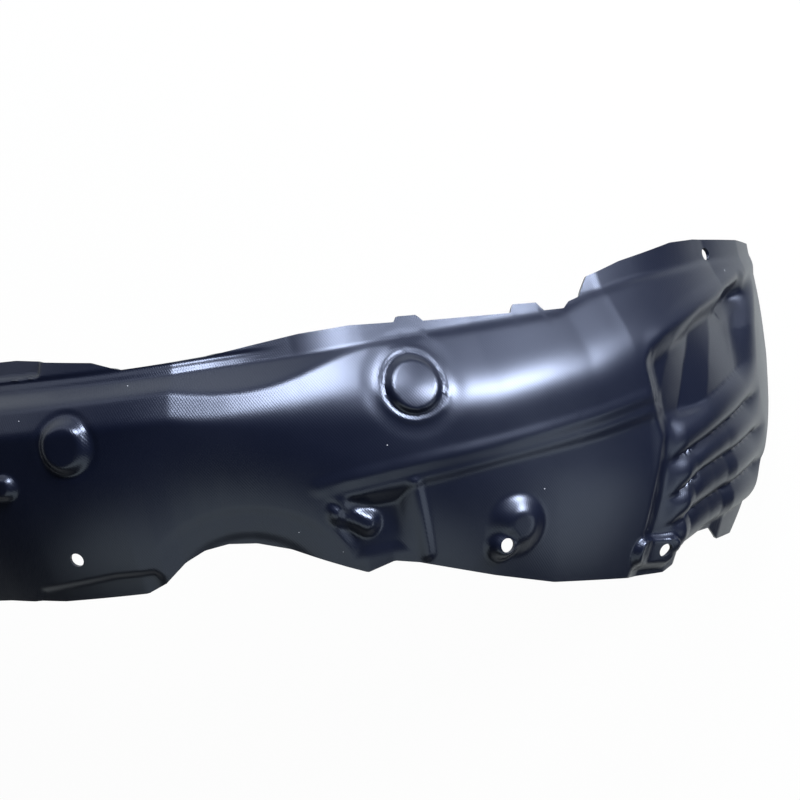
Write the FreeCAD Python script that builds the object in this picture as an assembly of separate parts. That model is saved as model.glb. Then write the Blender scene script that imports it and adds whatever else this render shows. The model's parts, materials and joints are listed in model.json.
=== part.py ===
import FreeCAD, Part
import math
import os

# Front left wheel arch liner, in millimetres: one plastic sheet, formed, trimmed and punched.
# X runs forward, Y outboard and Z up. While it is drawn, the Y axis is the arch's axle line.
# A place on the liner is an angle round the axle, in degrees forward of the top, and a y.
os.makedirs("parts", exist_ok=True)

# Sheet and arch
WALL = 2.5
ARCH_R = 390.0
END_ANGLE = 79.0
END_HEIGHT = 92.0

# Cross section: corners as y and depth below the arch radius, and the radius at each inner corner
LIP_END = (96.0, 46.0)
CREASE = (58.0, 36.0)
SHOULDER = (38.0, 0.0)
FACE_BREAK = (-50.0, 1.0)
INBOARD_END = (-168.0, 21.0)
CREASE_RADIUS = 8.0
SHOULDER_RADIUS = 50.0
FACE_RADIUS = 100.0

# Trim lines: the long edges in plan and the front edges in front view, as places on the arch
LIP_EDGE = ((-90, 79), (-50, 79), (-29, 78), (-14, 66), (0, 69), (7.4, 73), (21, 66), (31, 63), (36.5, 69),
            (42, 81), (52.5, 89), (90, 94))
INBOARD_EDGE = ((-90, -88), (-61, -88), (-40, -89), (-26, -90), (-15.6, -89), (-12.4, -76), (-9.4, -64),
                (-6.3, -61), (-2.4, -65), (2.2, -77), (7.7, -93), (13.3, -93), (21.7, -112), (28.5, -125),
                (40, -138), (48, -143), (90, -160))
FRONT_CUT = ((47.4, -200), (47.8, -140), (49.4, -127), (54.2, -121), (58.5, -119), (60.7, -128), (62.2, -147),
             (62.8, -200))
FRONT_EDGE = ((61.9, -200), (64.5, -145), (67, -115), (70.2, -80), (73, -50))
FRONT_FOOT_Y = -10.0

# Lip tabs: middle angle of each, width and reach past the lip edge
TABS = (16.0, 30.2)
TAB_WIDTH = 16.0
TAB_REACH = 5.0

# Round bosses: angle, y, foot radius, top radius, height; the last carries a clip hole
BOSSES = ((14.6, 28, 18.0, 13.5, 5.0), (-21.2, 18, 20.0, 14.0, 5.0), (22.2, -90, 20.0, 9.5, 6.0))

# Pockets sunk into the sheet: outline as angle and y
STRUT_POCKET = ((3.8, -45), (12.3, -43), (12.3, -82), (8, -82), (4.6, -70))
STRUT_POCKET_DEPTH = 5.0
FRONT_WALL = ((39.5, -180), (42, -84), (44.2, -41), (43, 4), (46, 18), (54, 30), (65, 36), (72, 38),
              (71.5, 0), (69.5, -50), (67, -80), (64, -115), (60, -180))
FRONT_WALL_DEPTH = 9.0
POCKET_CORNER = 5.0

# Beads: arcs through three places, with half widths at foot and top, and the height
RIBS = (((5, -27), (22, -18.5), (40, -8)), ((6, -37), (22, -30), (40, -21)))
RIB_FOOT, RIB_TOP, RIB_RISE = 4.4, 1.5, 2.6
UPRIGHTS = (((14, -42), (14.2, -62), (14.4, -84)),)
UPRIGHT_FOOT, UPRIGHT_TOP, UPRIGHT_RISE = 5.0, 2.0, 3.5
WEDGES = (((5.9, -50), (7.4, -57), (9, -64)),)
WEDGE_FOOT, WEDGE_TOP, WEDGE_RISE = 6.5, 2.5, 6.0
PLEATS = (
    ((48, -42), (56, -28), (65, -10)),
    ((48, -62), (56.5, -49), (66, -34)),
    ((48.5, -86), (56.5, -74), (66, -62)),
    ((49, -106), (56, -97), (64, -88)),
)
PLEAT_FOOT, PLEAT_TOP, PLEAT_RISE = 8.0, 2.0, 7.0

# Clip holes: angle, y and depth of the sheet there
CLIP_HOLE_R = 5.0
CLIP_HOLES = ((22.2, -90, 0.0), (44.6, -126, FRONT_WALL_DEPTH), (-22.6, -60, 0.0), (62.2, 80, 0.0))

AXLE = FreeCAD.Vector(0, 1, 0)
ORIGIN = FreeCAD.Vector()

# Reach of the cutting tools: past the sheet, and through a face that they open
CLEAR = 30.0
SKIM = 0.5


def outward_solid(solid):
    """A swept solid with its faces looking outward."""
    if solid.Volume < 0:
        solid.reverse()
    return solid


def rounded(before, corner, after, radius):
    """Ends and middle of the arc that rounds a corner."""
    a = (before - corner).normalize()
    b = (after - corner).normalize()
    half = a.getAngle(b) / 2.0
    back = radius / math.tan(half)
    middle = (a + b).normalize() * (radius / math.sin(half) - radius)
    return corner + a * back, corner + middle, corner + b * back


def outer_section():
    """The outer skin's section over the axle: lip, flank, shoulder and face, with rounded corners."""
    corners = [FreeCAD.Vector(0, y, ARCH_R - depth)
               for y, depth in (LIP_END, CREASE, SHOULDER, FACE_BREAK, INBOARD_END)]
    edges = []
    start = corners[0]
    for i, radius in enumerate((CREASE_RADIUS, SHOULDER_RADIUS, FACE_RADIUS), 1):
        first, middle, last = rounded(corners[i - 1], corners[i], corners[i + 1], radius)
        edges.append(Part.makeLine(start, first))
        edges.append(Part.Arc(first, middle, last).toShape())
        start = last
    edges.append(Part.makeLine(start, corners[-1]))
    return Part.Wire(edges)


section = outer_section()


def layer(top, bottom):
    """The space between two offsets of the section, outward positive, swept round the axle."""
    line = section.makeOffset2D(top, openResult=True) if top else section
    face = line.makeOffset2D(bottom - top, fill=True, openResult=True)
    face.rotate(ORIGIN, AXLE, -END_ANGLE)
    return outward_solid(face.revolve(ORIGIN, AXLE, 2.0 * END_ANGLE))


def seat(angle, y, sink=0.0):
    """The skin's point at a place, sunk below the skin, and the outward normal there."""
    probe = Part.makeLine(FreeCAD.Vector(0, y, ARCH_R - 100.0), FreeCAD.Vector(0, y, ARCH_R + 50.0))
    point = section.distToShape(probe)[1][0][0]
    spot = Part.Vertex(point)
    edge = min(section.Edges, key=lambda each: each.distToShape(spot)[0])
    normal = FreeCAD.Vector(1, 0, 0).cross(edge.tangentAt(edge.Curve.parameter(point)))
    if normal.z < 0:
        normal = -normal
    turn = FreeCAD.Rotation(AXLE, angle)
    return turn.multVec(point - normal * sink), turn.multVec(normal)


def press_out(body, outer, inner, level):
    """Raises the sheet, sunk to a level, over an outer tool and hollows it with an inner one."""
    return body.fuse(outer.common(layer(-level - WALL, CLEAR))).cut(inner)


def press_boss(body, angle, y, foot, top, height):
    """A round boss with sloping sides and a flat top."""
    base, normal = seat(angle, y)
    slope = (foot - top) / height
    low = base - normal * height
    wide = foot + slope * height
    across = WALL * math.hypot(1.0, slope)
    outer = Part.makeCone(wide, top, 2.0 * height, low, normal)
    inner = Part.makeCone(wide - across, top - across + slope * WALL, 2.0 * height - WALL, low, normal)
    return press_out(body, outer, inner, 0.0)


def press_bead(body, path, foot, top, rise, level=0.0):
    """A bead with sloping sides and a flat top along an arc, on sheet sunk to a level."""
    seats = [seat(angle, y, level) for angle, y in path]
    arc = Part.Arc(*[point for point, normal in seats]).toShape()
    start, normal = seats[0]
    along = arc.tangentAt(arc.FirstParameter)
    side = along.cross(normal).normalize()
    up = side.cross(along).normalize()
    deep = 2.0 * WALL + SKIM
    wide = foot + (foot - top) / rise * deep
    places = ((-wide, -deep), (-top, rise), (top, rise), (wide, -deep))
    corners = [start + side * s + up * h for s, h in places]
    outline = Part.makePolygon(corners + corners[:1])
    circle = arc.Curve
    sweep = math.degrees(arc.LastParameter - arc.FirstParameter)
    outer = Part.Face(outline).revolve(circle.Center, circle.Axis, sweep)
    hollow = Part.Face(outline.makeOffset2D(-WALL))
    back = math.degrees(WALL / circle.Radius)
    hollow.rotate(circle.Center, circle.Axis, back)
    inner = hollow.revolve(circle.Center, circle.Axis, sweep - 2.0 * back)
    return press_out(body, outward_solid(outer), outward_solid(inner), level)


def prism_across(outline, grow):
    """A prism across the sheet over an outline, grown all round, its corners rounded."""
    seats = [seat(angle, y) for angle, y in outline]
    middle = FreeCAD.Vector()
    normal = FreeCAD.Vector()
    for point, out in seats:
        middle += point * (1.0 / len(seats))
        normal += out
    normal.normalize()
    flat = [point - normal * (point - middle).dot(normal) for point, out in seats]
    wire = Part.makePolygon(flat + flat[:1])
    face = Part.Face(wire.makeOffset2D(-POCKET_CORNER).makeOffset2D(POCKET_CORNER + grow))
    face.translate(normal * -4.0 * CLEAR)
    return outward_solid(face.extrude(normal * 8.0 * CLEAR))


def press_in(body, outline, depth):
    """Sinks the sheet by a depth over an outline."""
    outer = layer(0.0, -depth - WALL).common(prism_across(outline, WALL))
    inner = layer(1.0, -depth).common(prism_across(outline, 0.0))
    return body.fuse(outer).cut(inner)


def trim_prism(line, far, way):
    """All that lies past a smooth trim line, out to two far points, along a direction."""
    curve = Part.BSplineCurve()
    curve.interpolate(line)
    back = Part.makePolygon([line[-1]] + far + [line[0]])
    return outward_solid(Part.Face(Part.Wire([curve.toShape()] + back.Edges)).extrude(way))


def plan_trim(line, far_y):
    """Trims in plan view, past a long edge."""
    points = [FreeCAD.Vector(ARCH_R * math.sin(math.radians(angle)), y, 0) for angle, y in line]
    far = [FreeCAD.Vector(points[-1].x, far_y, 0), FreeCAD.Vector(points[0].x, far_y, 0)]
    return trim_prism(points, far, FreeCAD.Vector(0, 0, ARCH_R + CLEAR))


def front_trim(line, far):
    """Trims in front view, through the front half only, round far points given as y and height."""
    points = [FreeCAD.Vector(ARCH_R / 3.0, y, ARCH_R * math.cos(math.radians(angle))) for angle, y in line]
    ends = [FreeCAD.Vector(ARCH_R / 3.0, y, z) for y, z in far]
    return trim_prism(points, ends, FreeCAD.Vector(ARCH_R, 0, 0))


# Forming: the front wall and the strut pocket are sunk, then bosses and beads are raised
liner = layer(0.0, -WALL)
liner = press_in(liner, FRONT_WALL, FRONT_WALL_DEPTH)
liner = press_in(liner, STRUT_POCKET, STRUT_POCKET_DEPTH)
for boss in BOSSES:
    liner = press_boss(liner, *boss)
for path in RIBS:
    liner = press_bead(liner, path, RIB_FOOT, RIB_TOP, RIB_RISE)
for path in UPRIGHTS:
    liner = press_bead(liner, path, UPRIGHT_FOOT, UPRIGHT_TOP, UPRIGHT_RISE)
for path in WEDGES:
    liner = press_bead(liner, path, WEDGE_FOOT, WEDGE_TOP, WEDGE_RISE, STRUT_POCKET_DEPTH)
for path in PLEATS:
    liner = press_bead(liner, path, PLEAT_FOOT, PLEAT_TOP, PLEAT_RISE, FRONT_WALL_DEPTH)

# Trimming: the lip edge with its tabs left standing, the inboard edge, the front wall and the two ends
tabs = []
for angle in TABS:
    x = (ARCH_R - CREASE[1]) * math.sin(math.radians(angle))
    corner = FreeCAD.Vector(x - TAB_WIDTH / 2.0, CREASE[0], 0)
    tabs.append(Part.makeBox(TAB_WIDTH, 2.0 * CLEAR, ARCH_R + CLEAR, corner))
tab_reach = plan_trim([(angle, y + TAB_REACH) for angle, y in LIP_EDGE], 4.0 * CREASE[0])
standing = tabs[0].fuse(tabs[1:]).cut(tab_reach)
liner = liner.cut(plan_trim(LIP_EDGE, 4.0 * CREASE[0]).cut(standing))
liner = liner.cut(plan_trim(INBOARD_EDGE, 2.0 * INBOARD_END[0]))
liner = liner.cut(front_trim(FRONT_CUT, []))
past_lip = LIP_END[0] + CLEAR
foot = [(FRONT_FOOT_Y, END_HEIGHT), (past_lip, END_HEIGHT), (past_lip, 0), (FRONT_EDGE[0][1], 0)]
liner = liner.cut(front_trim(FRONT_EDGE, foot))
rear_corner = FreeCAD.Vector(-2.0 * ARCH_R, -ARCH_R, 0)
liner = liner.cut(Part.makeBox(2.0 * ARCH_R, 2.0 * ARCH_R, END_HEIGHT, rear_corner))

# Punching: clip holes
for angle, y, depth in CLIP_HOLES:
    point, normal = seat(angle, y, depth)
    liner = liner.cut(Part.makeCylinder(CLIP_HOLE_R, 2.0 * CLEAR, point - normal * CLEAR, normal))

# Set down on its two ends, with the origin under the middle
box = liner.optimalBoundingBox()
down = FreeCAD.Vector(-box.Center.x, -box.Center.y, -box.ZMin)
liner.translate(down)
liner.exportStep("parts/wheel_arch_liner.step")
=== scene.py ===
import json
import bpy
import numpy as np
from mathutils import Matrix, Vector


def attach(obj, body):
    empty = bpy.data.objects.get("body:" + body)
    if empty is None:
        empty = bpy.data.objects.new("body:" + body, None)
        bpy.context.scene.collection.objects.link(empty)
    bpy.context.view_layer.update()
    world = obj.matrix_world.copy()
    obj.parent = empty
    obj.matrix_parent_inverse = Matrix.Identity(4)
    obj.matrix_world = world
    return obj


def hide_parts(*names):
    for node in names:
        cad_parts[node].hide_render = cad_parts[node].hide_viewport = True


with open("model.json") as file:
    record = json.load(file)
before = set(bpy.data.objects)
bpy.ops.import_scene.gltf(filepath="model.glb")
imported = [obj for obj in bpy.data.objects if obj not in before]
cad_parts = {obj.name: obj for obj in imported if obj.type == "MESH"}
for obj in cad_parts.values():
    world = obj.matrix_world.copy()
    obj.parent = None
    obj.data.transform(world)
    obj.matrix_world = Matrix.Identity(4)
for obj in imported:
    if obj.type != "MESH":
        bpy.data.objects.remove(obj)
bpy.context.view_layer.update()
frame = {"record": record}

# Liner sheet
# One sheet of plastic, heated and drawn over a mould, then trimmed and punched. A flat grid is laid out by
# its trimmed edges, each pressed form raises or sinks it, and the whole is bent round the axle line.
# Places are an angle round the axle, in degrees forward of the top, and a y in millimetres.
mm = 0.001
arch_r = 390.0
wall = 2.5
end_height = 92.0
axle = np.array([0.0, 0.02911, -end_height * mm])
columns, rows = 400, 120


def along_arch(line):
    """A line of places read off at every point of the grid."""
    places = np.array(line, dtype=float)
    return np.interp(angle, places[:, 0], places[:, 1])


def step(value):
    """Nought to one, easing at both ends."""
    value = np.clip(value, 0.0, 1.0)
    return value * value * (3.0 - 2.0 * value)


def plateau(distance, radius, slope_width):
    """Flat in the middle at one, easing down to nought at the radius."""
    return step((radius - distance) / slope_width)


def bump(distance, radius):
    """A round hump, one at the middle and nought at the radius."""
    return (1.0 - np.clip(np.abs(distance) / radius, 0.0, 1.0) ** 2) ** 2


def roll(start, width):
    """Depth under a bend that turns over a width from flat to a slope of one."""
    value = (y - start) / width
    turned = np.clip(value, 0.0, 1.0)
    return width * (turned ** 3 - turned ** 4 / 2.0 + np.clip(value - 1.0, 0.0, None))


def away(middle_angle, middle_y):
    """Distance over the sheet from a place."""
    return np.hypot(arc - np.radians(middle_angle) * arch_r, y - middle_y)


def beside(path):
    """Distance over the sheet from a line through places."""
    nearest = np.full(arc.shape, np.inf)
    for (first_angle, first_y), (last_angle, last_y) in zip(path, path[1:]):
        on_arc = arc - np.radians(first_angle) * arch_r
        on_y = y - first_y
        run = np.radians(last_angle - first_angle) * arch_r
        rise = last_y - first_y
        along = np.clip((on_arc * run + on_y * rise) / (run ** 2 + rise ** 2), 0.0, 1.0)
        nearest = np.minimum(nearest, np.hypot(on_arc - along * run, on_y - along * rise))
    return nearest


# layout of the grid: columns run from the rear end to the front end, rows from the lip to the inboard edge
rear_lip, rear_inboard = 79.0, -88.0
rear_shoulder, rear_flank, rear_crease = 30.0, 48.0, 57.0
rear_bulge_slope, rear_flank_slope, rear_lip_slope = 0.55, 1.3, 0.5
share = np.linspace(0.0, 1.0, rows)[None, :]
crowding = np.interp(np.linspace(0.0, 1.0, columns), [0.0, 0.1, 0.66, 1.0], [0.0, 0.28, 0.77, 1.0])[:, None]
rear_y = rear_lip + share * (rear_inboard - rear_lip)
rear_depth = rear_bulge_slope * np.clip(rear_y - rear_shoulder, 0.0, rear_crease - rear_shoulder)
rear_depth = rear_depth + rear_flank_slope * np.clip(rear_y - rear_flank, 0.0, rear_crease - rear_flank)
rear_depth = rear_depth + rear_lip_slope * np.clip(rear_y - rear_crease, 0.0, None)
rear_end = -np.degrees(np.arccos(end_height / (arch_r - rear_depth)))
front_end = np.interp(share, [0.0, 0.4, 0.57, 0.69, 0.83, 1.0], [74.4, 75.5, 73.0, 70.2, 67.0, 63.8])
angle = rear_end + crowding * (front_end - rear_end)
arc = np.radians(angle) * arch_r
lip = along_arch([
    (-80, 79), (-30, 78), (-19.4, 71), (-16, 64), (-6.6, 65), (4, 72), (9.4, 73), (14.4, 70.5),
    (14.8, 74), (17.2, 73), (17.6, 68.5), (28.2, 64), (28.7, 69.5), (31.8, 68), (32.3, 62), (35, 61),
    (36, 65), (37.6, 67), (39.6, 80), (45, 86.5), (55, 93), (60, 92), (70, 85), (76, 78)])
inboard = along_arch([
    (-80, -88), (-33, -87), (-26, -90), (-16, -89), (-13.7, -83), (-11.2, -70), (-9, -63.5), (-6.4, -61),
    (-3.4, -63), (0, -70), (5.6, -88), (7.7, -94), (10.7, -89), (13.3, -93), (21.7, -112), (28.8, -126),
    (40.9, -139), (46, -142), (48, -139), (49.5, -127), (54, -122), (57, -123), (59, -134), (80, -140)])
crease = along_arch([
    (-80, 56), (-20, 56), (0, 57), (12, 60), (34, 60), (38.5, 68), (46, 73), (60, 75.5), (76, 71)])
shoulder = along_arch([
    (-80, 31), (-10, 30), (-4, 22), (3, 11), (10, 4), (17, 0), (23, -3), (35, 1), (41, 10), (80, 14)])
y = lip + share * (inboard - lip)

# section: a chamfered shoulder behind the strut, a long bulge in front of it, then the crease and the lip
change_from, change_over = -9.0, 20.0
ahead = step((angle - change_from) / change_over)
bulge_slope = rear_bulge_slope + 0.07 * ahead
flank_slope = rear_flank_slope - 0.75 * ahead
lip_slope = along_arch([(-80, rear_lip_slope), (36, 0.45), (40, 0.3), (80, 0.3)])
bulge_start = shoulder - 6.0 + 2.0 * ahead
bulge_bend = 10.0 + 36.0 * ahead
flank_start = shoulder + 13.0 + (crease - shoulder - 20.0) * ahead
flank_bend, crease_bend = 8.0, 4.0
depth = bulge_slope * roll(bulge_start, bulge_bend)
depth = depth + flank_slope * roll(flank_start, flank_bend)
depth = depth - (bulge_slope + flank_slope - lip_slope) * roll(crease - crease_bend / 2.0, crease_bend)

# the section opens out towards the front end, and the face falls away to the inboard edge
depth = depth * along_arch([(-80, 1.0), (40, 1.0), (50, 0.82), (62, 0.6), (70, 0.25), (76, 0.1)])
face_fall, face_start, face_width = 8.0, 20.0, 170.0
edge_fall, edge_width = 17.0, 85.0
depth = depth + face_fall * (np.clip(face_start - y, 0.0, None) / face_width) ** 2
depth = depth + edge_fall * (np.clip(edge_width - (y - inboard), 0.0, None) / edge_width) ** 2
height = -depth

# second line along the rear lip and the stepped end of the lip
line_depth, line_above_crease, line_half_width = 1.3, 6.5, 3.0
line_end, line_fade = 2.0, 6.0
second_line = bump(y - crease - line_above_crease, line_half_width)
height -= line_depth * second_line * step((line_end - angle) / line_fade)
drop, drop_angle, drop_turn, drop_y, drop_width = 5.0, -26.0, 0.6, 65.0, 2.5
height -= drop * step((drop_angle - angle) / drop_turn) * step((y - drop_y) / drop_width)

# button boss: a slightly domed top in a ring, with a shallow dish round it
button = away(14.6, 29.0)
button_rise, button_radius, button_slope = 4.6, 20.5, 5.0
dome_rise, dome_radius = 0.8, 18.0
height += button_rise * plateau(button, button_radius, button_slope) + dome_rise * bump(button, dome_radius)
for ring_rise, ring_radius, ring_half_width in ((0.6, 24.0, 3.5), (-0.7, 20.5, 3.5), (-0.4, 30.0, 8.0)):
    height += ring_rise * bump(button - ring_radius, ring_half_width)

# plain boss in a groove, and a nub, both on the rear face
plain_boss = away(-21.2, 19.0)
plain_rise, plain_radius, plain_slope = 5.2, 20.5, 8.0
groove_depth, groove_radius, groove_half_width = 0.7, 21.0, 4.0
height += plain_rise * plateau(plain_boss, plain_radius, plain_slope)
height -= groove_depth * bump(plain_boss - groove_radius, groove_half_width)
nub_rise, nub_radius, nub_slope = 5.0, 9.5, 4.5
height += nub_rise * plateau(beside([(-36, -5), (-28.8, -5)]), nub_radius, nub_slope)

# double rib, with the panel below it set in by two steps
upper_rib = [(3.7, -30), (6.3, -27), (14, -23), (22.6, -20), (34.8, -14), (41.5, -9)]
lower_rib = [(5, -37), (9.7, -34), (15.4, -32), (23, -28), (34.6, -24), (41.8, -20)]
panel_rear, panel_front, panel_fade, panel_slope = 3.0, 46.0, 4.0, 9.0
panel = step((angle - panel_rear) / panel_fade) * step((panel_front - angle) / panel_fade)
for rib, set_in, rib_rise, rib_half_width in ((upper_rib, 1.8, 0.7, 8.0), (lower_rib, 2.2, 0.6, 7.0)):
    height -= set_in * panel * step((along_arch(rib) - y) / panel_slope)
    height += rib_rise * bump(beside(rib), rib_half_width)

# pocket at the strut: deepest below the rib, with a wedge on its floor and an upright rib at its front
pocket_rear, pocket_front = 4.4, 12.9
pocket_top, pocket_bottom = -38.0, -86.0
pocket_depth, pocket_slope = 6.5, 12.0
slant, slant_from, slant_over = 1.4, -50.0, 30.0
shallow_share, deepen_from, deepen_over = 0.25, -84.0, 36.0
rear_side = np.radians(pocket_rear + slant * step((slant_from - y) / slant_over)) * arch_r
from_sides = np.minimum(arc - rear_side, np.radians(pocket_front) * arch_r - arc)
from_ends = np.minimum(pocket_top - y, y - pocket_bottom)
deepening = shallow_share + (1.0 - shallow_share) * step((y - deepen_from) / deepen_over)
height -= pocket_depth * step(np.minimum(from_sides, from_ends) / pocket_slope) * deepening
wedge_rise, wedge_radius, wedge_slope = 7.0, 12.0, 10.0
height += wedge_rise * plateau(beside([(5.7, -49), (8.2, -59)]), wedge_radius, wedge_slope)
upright_rise, upright_half_width = 2.4, 6.5
height += upright_rise * bump(beside([(13.3, -38), (14.2, -88)]), upright_half_width)

# hood over the front clip hole, with a flat seat for the clip
hood_rise, hood_radius, hood_slope = 8.0, 24.0, 17.0
seat_depth, seat_radius, seat_slope = 8.0, 12.0, 7.0
height += hood_rise * plateau(away(24.0, -79.0), hood_radius, hood_slope)
seat = plateau(away(22.2, -91.0), seat_radius, seat_slope)
height = height * (1.0 - seat) - seat_depth * seat

# front wall: sunk past the fold and under the ridge, deepest in its upper corner, with a rim in front
fold = np.interp(y, [-140, -84, -41, -6, 18], [39.3, 41.8, 43.8, 42.6, 42.0])
ridge = along_arch([(41, 12), (42.1, 20), (43.6, 27), (47.6, 35), (54.7, 45), (64, 55), (72, 60), (76, 61)])
rim_line = np.interp(y, [-120, -62, -37, -13, 20, 49], [65.5, 64.5, 63.0, 62.5, 64.0, 67.5])
fold_slope, ridge_slope, rim_turn = 17.0, 19.0, 5.5
past_fold = arc - np.radians(fold) * arch_r
under_ridge = ridge - y
rim = step((angle - rim_line) / rim_turn)
sunk = step(past_fold / fold_slope) * step(under_ridge / ridge_slope) * (1.0 - rim)
wall_depth, corner_depth = 7.0, 7.0
corner_angle, corner_turn, corner_y, corner_width = 46.0, 18.0, -25.0, 60.0
corner = step((angle - corner_angle) / corner_turn) * step((y - corner_y) / corner_width)
height -= (wall_depth + corner_depth * corner) * sunk

# groove along the fold, bead along the ridge and a dent in the upper corner of the front wall
fold_groove, groove_past_fold, groove_fade = 1.5, 6.0, 10.0
ridge_bead, bead_over_ridge, bead_start, bead_fade = 1.2, 3.0, 42.0, 4.0
half_width = 9.0
height -= fold_groove * bump(past_fold - groove_past_fold, half_width) * step(under_ridge / groove_fade)
bead = bump(under_ridge + bead_over_ridge, half_width)
height += ridge_bead * bead * step((angle - bead_start) / bead_fade)
dent_depth, dent_radius, dent_slope = 4.5, 16.0, 15.0
height -= dent_depth * plateau(beside([(63.5, 41), (67.5, 47)]), dent_radius, dent_slope)

# two flat facets of the front wall, which meet in a valley above the pleats
valley = np.interp(y, [-30, 5, 42], [48.3, 51.0, 55.0])
valley_depth, facet_width = 4.5, 34.0
facets_end, facets_fade = -32.0, 8.0
from_valley = np.abs(arc - np.radians(valley) * arch_r)
facets = np.clip(1.0 - from_valley / facet_width, 0.0, 1.0)
height -= valley_depth * facets * sunk * step((y - facets_end) / facets_fade)

# pleats: full bands that meet in sharp valleys
pleat_lines = [
    [(45.1, -33), (51.8, -26), (60.9, -13), (67, -4)],
    [(44.9, -61), (52.5, -51), (63, -37), (68, -30)],
    [(45.6, -86), (51.1, -74), (65, -61), (69, -58)],
    [(45.5, -107), (51, -99), (66.8, -85), (69, -83)],
    [(47.6, -128), (58.6, -116), (68, -112)],
]
pleat_rise, pleat_lean, pleat_fullness = 6.5, 1.25, 0.75
pleat_start, pleat_fade = 44.0, 4.0
for upper, lower in zip(pleat_lines, pleat_lines[1:]):
    top = along_arch(upper)
    across = np.clip((top - y) / (top - along_arch(lower)), 0.0, 1.0) ** pleat_lean
    band = (4.0 * across * (1.0 - across)) ** pleat_fullness
    height += pleat_rise * band * sunk * step((angle - pleat_start) / pleat_fade)

# arm with the foot's clip hole, flap behind the strut notch, and the drawn rings round that notch
arm_rise, arm_radius, arm_slope = 6.0, 12.5, 4.5
height += arm_rise * plateau(beside([(41.0, -121), (45.2, -125)]), arm_radius, arm_slope)
flap_line = along_arch([(-80, -96), (-31, -96), (-28.2, -78), (-18.8, -71), (-14.6, -71), (-13.4, -78)])
flap_depth, flap_slope, flap_end, flap_turn = 3.0, 5.0, -13.2, 1.5
height -= flap_depth * step((flap_line - y) / flap_slope) * step((flap_end - angle) / flap_turn)
notch_angle, notch_y, notch_stretch = -5.0, -98.0, 0.8
from_notch = np.hypot((arc - np.radians(notch_angle) * arch_r) * notch_stretch, y - notch_y)
for ring_depth, ring_radius, ring_slope in ((0.7, 64.0, 8.0), (1.2, 46.0, 8.0)):
    height -= ring_depth * plateau(from_notch, ring_radius, ring_slope)

# bent round the axle line, with both ends standing on the floor
lowest = 0.003
radius = (arch_r + height) * mm
points = np.stack([axle[0] + radius * np.sin(np.radians(angle)), axle[1] + y * mm,
                   np.maximum(axle[2] + radius * np.cos(np.radians(angle)), lowest)], axis=-1)

# the grid takes these places, keeps the flat sheet as its UV map and gets its wall
bpy.ops.object.select_all(action="DESELECT")
bpy.ops.mesh.primitive_grid_add(x_subdivisions=rows - 1, y_subdivisions=columns - 1, size=1.0)
liner = bpy.context.object
liner.name = "liner"
liner.data.vertices.foreach_set("co", points.reshape(-1))
corners = np.empty(len(liner.data.loops), dtype=np.int32)
liner.data.loops.foreach_get("vertex_index", corners)
flat_sheet = np.stack([arc * mm, y * mm], axis=-1).reshape(-1, 2)
liner.data.uv_layers[0].data.foreach_set("uv", flat_sheet[corners].reshape(-1))
liner.data.update()
if liner.data.polygons[len(liner.data.polygons) // 2].normal.z < 0.0:
    liner.data.flip_normals()
thick = liner.modifiers.new("thick", "SOLIDIFY")
thick.thickness = wall * mm
thick.offset = -1.0
bpy.ops.object.modifier_apply(modifier="thick")

# clip holes, punched through this sheet at the angle and y of the record's mounts
punch_length = 0.04
for mount in frame["record"]["mounts"]:
    from_axle = np.array(mount["pos_m"]) - axle
    mount_angle = np.degrees(np.arctan2(from_axle[0], from_axle[2]))
    nearest = np.argmin(away(mount_angle, from_axle[1] / mm))
    bpy.ops.object.select_all(action="DESELECT")
    bpy.ops.mesh.primitive_cylinder_add(vertices=48, radius=mount["dims"]["r_mm"] * mm, depth=punch_length,
                                        location=points.reshape(-1, 3)[nearest],
                                        rotation=Vector(mount["axis"]).to_track_quat("Z", "Y").to_euler())
    punch = bpy.context.object
    hole = liner.modifiers.new("hole", "BOOLEAN")
    hole.object = punch
    hole.solver = "EXACT"
    bpy.context.view_layer.objects.active = liner
    bpy.ops.object.modifier_apply(modifier="hole")
    bpy.data.objects.remove(punch)
smooth_up_to = 1.1
bpy.ops.object.select_all(action="DESELECT")
liner.select_set(True)
bpy.context.view_layer.objects.active = liner
bpy.ops.object.shade_smooth_by_angle(angle=smooth_up_to)


class Signal:
    """A socket of a node tree, with sums and products of sockets written as expressions."""

    def __init__(self, tree, socket):
        self.tree = tree
        self.socket = socket

    def node(self, kind, settings, sockets, output=0):
        made = self.tree.nodes.new(kind)
        for name, value in settings.items():
            setattr(made, name, value)
        for name, value in sockets.items():
            if isinstance(value, Signal):
                self.tree.links.new(value.socket, made.inputs[name])
            else:
                made.inputs[name].default_value = value
        return Signal(self.tree, made.outputs[output])

    def maths(self, operation, first, second):
        return self.node("ShaderNodeMath", {"operation": operation}, {0: first, 1: second})

    def __add__(self, other):
        return self.maths("ADD", self, other)

    def __sub__(self, other):
        return self.maths("SUBTRACT", self, other)

    def __mul__(self, other):
        return self.maths("MULTIPLY", self, other)

    def __rsub__(self, other):
        return self.maths("SUBTRACT", other, self)

    __radd__ = __add__
    __rmul__ = __mul__


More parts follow.
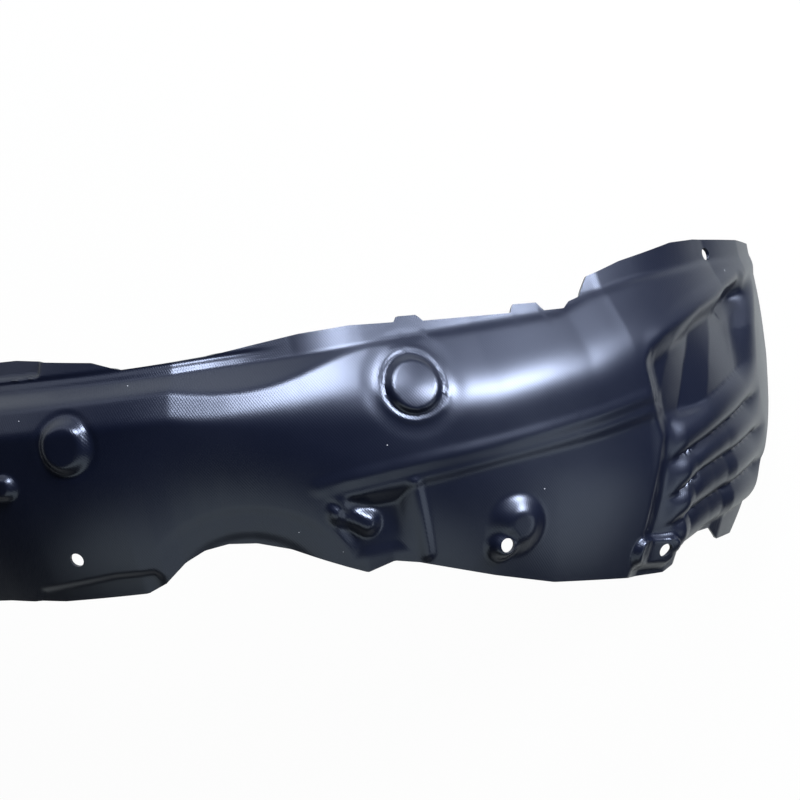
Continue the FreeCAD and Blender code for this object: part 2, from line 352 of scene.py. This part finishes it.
# black plastic: a fine diagonal emboss, uneven gloss, a few specks of dust, and a painted reflection
# colour, with every reflection tinted blue to stand for bluish light
deep_black = (0.0010, 0.0017, 0.0056, 1.0)
worn_black = (0.0020, 0.0029, 0.0080, 1.0)
painted_blue_reflection = (0.66, 0.75, 1.0, 1.0)
dust_grey = (0.22, 0.23, 0.26, 1.0)
dust_size = 0.017
emboss_pitch, emboss_slant, emboss_depth = 0.0019, 0.7, 0.000045
smoothest, unevenness = 0.24, 0.14
plastic = bpy.data.materials.new("liner_plastic")
plastic.use_nodes = True
tree = plastic.node_tree
shader = tree.nodes["Principled BSDF"]
# painted reflection colour: the blue specular tint stands for bluish light on the plastic and is not a
# colour of the plastic itself
shader.inputs["Specular Tint"].default_value = painted_blue_reflection
start = Signal(tree, None)
place = start.node("ShaderNodeUVMap", {"uv_map": liner.data.uv_layers[0].name}, {})
round_arch = start.node("ShaderNodeSeparateXYZ", {}, {0: place}, "X")
across_arch = start.node("ShaderNodeSeparateXYZ", {}, {0: place}, "Y")
turns = 2.0 * np.pi / emboss_pitch
rising = (round_arch + across_arch * emboss_slant) * turns
falling = (round_arch - across_arch * emboss_slant) * turns
rising = rising.maths("SINE", rising, 0.0) * 0.65
falling = falling.maths("SINE", falling, 0.0) * 0.35
emboss = start.node("ShaderNodeBump", {},
                    {"Strength": 0.5, "Distance": emboss_depth, "Height": rising + falling})
solid = start.node("ShaderNodeTexCoord", {}, {}, "Object")
haze = start.node("ShaderNodeTexNoise", {}, {"Vector": solid, "Scale": 14.0, "Detail": 4.0})
cells = start.node("ShaderNodeTexVoronoi", {}, {"Vector": solid, "Scale": 38.0}, "Distance")
dust = cells.maths("LESS_THAN", cells, dust_size)
clean = start.node("ShaderNodeMix", {"data_type": "RGBA"}, {0: haze, 6: deep_black, 7: worn_black}, 2)
dusty = start.node("ShaderNodeMix", {"data_type": "RGBA"}, {0: dust, 6: clean, 7: dust_grey}, 2)
tree.links.new(dusty.socket, shader.inputs["Base Color"])
tree.links.new((haze * unevenness + smoothest).socket, shader.inputs["Roughness"])
tree.links.new(emboss.socket, shader.inputs["Normal"])
liner.data.materials.clear()
liner.data.materials.append(plastic)
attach(liner, "root")
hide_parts("wheel_arch_liner")

# Floor
# A plain matt floor, which the camera sees as white with a faint shadow under the liner.
# It ends a little past the front end, so that the front wall mirrors the dark room beyond it.
floor_size, floor_front = 12.0, 0.52
bpy.ops.object.select_all(action="DESELECT")
bpy.ops.mesh.primitive_plane_add(size=floor_size, location=(floor_front - floor_size / 2.0, 0.0, 0.0))
floor = bpy.context.object
floor.name = "floor"
paint = bpy.data.materials.new("floor_white")
paint.use_nodes = True
tree = paint.node_tree
matt = tree.nodes["Principled BSDF"]
matt.inputs["Base Color"].default_value = (0.26, 0.27, 0.26, 1.0)
matt.inputs["Roughness"].default_value = 0.9
begin = Signal(tree, None)
camera_ray = begin.node("ShaderNodeLightPath", {}, {}, "Is Camera Ray")
mirror_ray = begin.node("ShaderNodeLightPath", {}, {}, "Is Glossy Ray")
glass_ray = begin.node("ShaderNodeLightPath", {}, {}, "Is Transmission Ray")
white = begin.node("ShaderNodeEmission", {}, {"Strength": 1.0})
whiteness = camera_ray * 0.97 + mirror_ray * 0.12 + glass_ray * 0.97
seen = begin.node("ShaderNodeMixShader", {}, {0: whiteness, 1: Signal(tree, matt.outputs[0]), 2: white})
tree.links.new(seen.socket, tree.nodes["Material Output"].inputs["Surface"])
floor.data.materials.append(paint)

# Light
# Two windows on the lip's side, a low dim card beyond each end of the lip, and two dim cards on the inboard
# side, all turned to the crown in a dark room that the camera sees as white.
room = bpy.data.worlds.new("room")
bpy.context.scene.world = room
room.use_nodes = True
tree = room.node_tree
dark = tree.nodes["Background"]
dark.inputs["Color"].default_value = (0.7, 0.75, 1.0, 1.0)
dark.inputs["Strength"].default_value = 0.04
begin = Signal(tree, None)
camera_ray = begin.node("ShaderNodeLightPath", {}, {}, "Is Camera Ray")
white = begin.node("ShaderNodeBackground", {}, {"Color": (0.98, 0.98, 0.98, 1.0), "Strength": 1.0})
seen = begin.node("ShaderNodeMixShader", {}, {0: camera_ray, 1: Signal(tree, dark.outputs[0]), 2: white})
tree.links.new(seen.socket, tree.nodes["World Output"].inputs["Surface"])
crown = Vector((0.05, 0.03, 0.27))
daylight = (0.95, 0.97, 1.0)
for spot, width, tall, power, tint in (
        ((0.16, 1.4, 1.1), 0.7, 0.7, 74.0, daylight),
        ((1.32, 0.82, 1.12), 0.55, 0.8, 90.0, daylight),
        ((-1.0, 1.3, 0.35), 1.2, 0.6, 3.0, daylight),
        ((1.35, 1.0, 0.35), 1.1, 0.6, 5.0, daylight),
        ((1.4, -0.8, 0.75), 1.0, 0.7, 4.5, (0.95, 1.0, 0.92)),
        ((-0.3, -1.3, 1.3), 2.6, 1.0, 12.0, (0.95, 1.0, 0.88))):
    bpy.ops.object.light_add(type="AREA", location=spot)
    lamp = bpy.context.object
    lamp.data.shape = "RECTANGLE"
    lamp.data.size = width
    lamp.data.size_y = tall
    lamp.data.energy = power
    lamp.data.color = tint
    lamp.rotation_euler = (crown - Vector(spot)).to_track_quat("-Z", "Y").to_euler()

# Camera
# High over the arch, tipped a little to the lip's side and rolled, as the photo was taken.
# The top of the arch, above the axle line, stands at a set column and row of the square picture.
tilt, lean = np.radians(5.0), np.radians(8.0)
height_over = 1.5
metres_per_pixel = 0.00066
picture_width = 800
top_column, top_row = 275, 450
back = np.array([0.0, np.sin(tilt), np.cos(tilt)])
level_up = np.array([0.0, np.cos(tilt), -np.sin(tilt)])
level_right = np.array([1.0, 0.0, 0.0])
right = np.cos(lean) * level_right - np.sin(lean) * level_up
up = np.sin(lean) * level_right + np.cos(lean) * level_up
to_right = (picture_width / 2 - top_column) * metres_per_pixel
to_top = (top_row - picture_width / 2) * metres_per_pixel
arch_top = axle + np.array([0.0, 0.0, arch_r * mm])
eye = arch_top + back * height_over + right * to_right + up * to_top
bpy.ops.object.camera_add()
camera = bpy.context.object
turn_and_place = np.column_stack([right, up, back, eye])
camera.matrix_world = Matrix(np.vstack([turn_and_place, [0.0, 0.0, 0.0, 1.0]]).tolist())
camera.data.sensor_width = 36.0
camera.data.lens = camera.data.sensor_width * height_over / metres_per_pixel / picture_width
bpy.context.scene.camera = camera
bpy.context.scene.view_settings.view_transform = "Standard"
